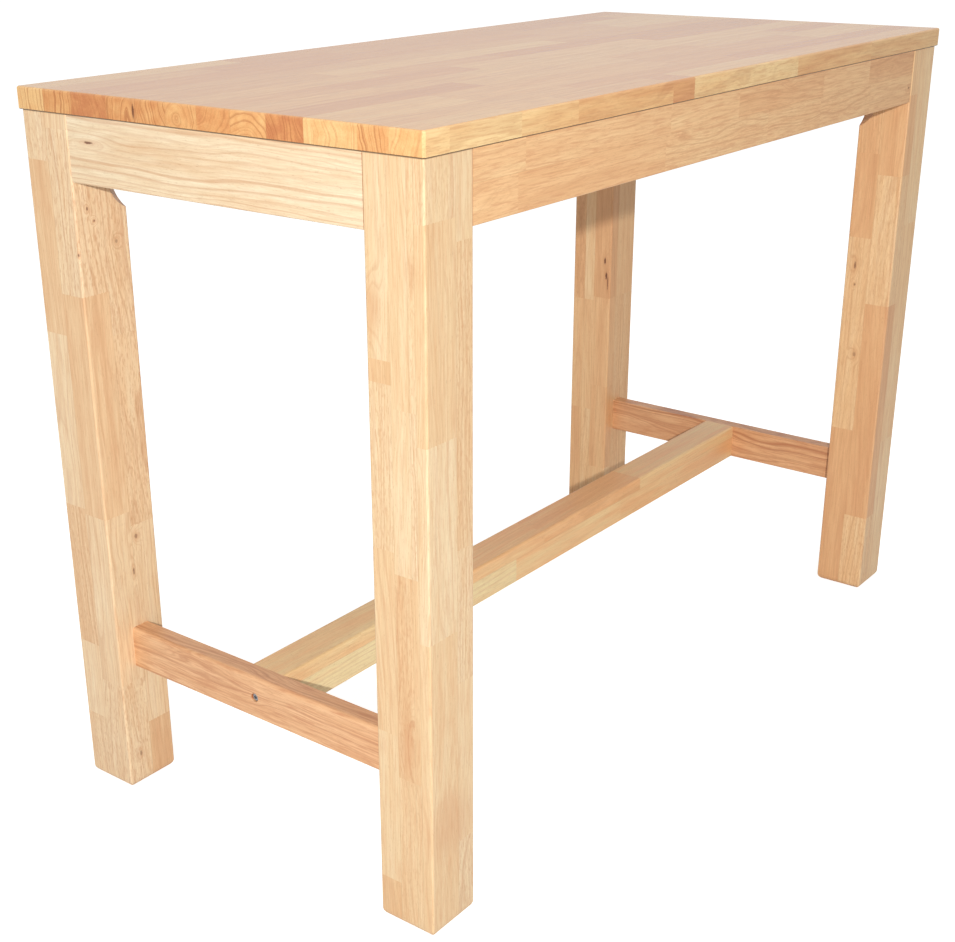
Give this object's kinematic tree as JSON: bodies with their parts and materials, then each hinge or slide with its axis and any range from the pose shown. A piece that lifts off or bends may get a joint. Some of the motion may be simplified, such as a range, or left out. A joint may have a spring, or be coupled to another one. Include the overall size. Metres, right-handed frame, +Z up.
{
  "type": "bar table",
  "caption": "Tall rectangular bar table in light laminated hardwood, with square corner legs, aprons under the top and an H of low stretchers.",
  "frame": {"origin": "on the floor, below the middle of the table", "axes": "+X along the table's length, +Y across it from front to back, +Z up"},
  "size_m": [1.46, 0.7, 1.065],
  "materials": {
    "top_wood": "satin lacquer",
    "leg_wood": "satin lacquer",
    "apron_wood": "satin lacquer",
    "stretcher_wood": "satin lacquer",
    "rail_wood": "satin lacquer",
    "block_wood": "sanded, unlacquered",
    "dowel_wood": "plain",
    "bolt_steel": "zinc plated",
    "washer_steel": "zinc plated",
    "nut_steel": "zinc plated",
    "screw_steel": "zinc plated",
    "bracket_steel": "zinc plated"
  },
  "bodies": {
    "root": {"table_top": "top_wood", "leg_front_left": "leg_wood", "leg_front_right": "leg_wood", "leg_back_left": "leg_wood", "leg_back_right": "leg_wood", "long_apron_front": "apron_wood", "long_apron_back": "apron_wood", "end_apron_left": "apron_wood", "end_apron_right": "apron_wood", "corner_block_front_left": "block_wood", "corner_block_front_right": "block_wood", "corner_block_back_left": "block_wood", "corner_block_back_right": "block_wood", "end_stretcher_left": "stretcher_wood", "end_stretcher_right": "stretcher_wood", "centre_rail": "rail_wood", "leg_bolts": "bolt_steel", "leg_bolt_flat_washers": "washer_steel", "leg_bolt_spring_washers": "washer_steel", "leg_insert_nuts": "nut_steel", "long_apron_dowels": "dowel_wood", "corner_block_screws": "screw_steel", "top_screws": "screw_steel", "top_brackets": "bracket_steel", "bracket_screws": "screw_steel", "rail_bolts": "bolt_steel", "rail_bolt_washers": "washer_steel", "rail_barrel_nuts": "nut_steel", "rail_dowels": "dowel_wood"}
  },
  "joints": []
}
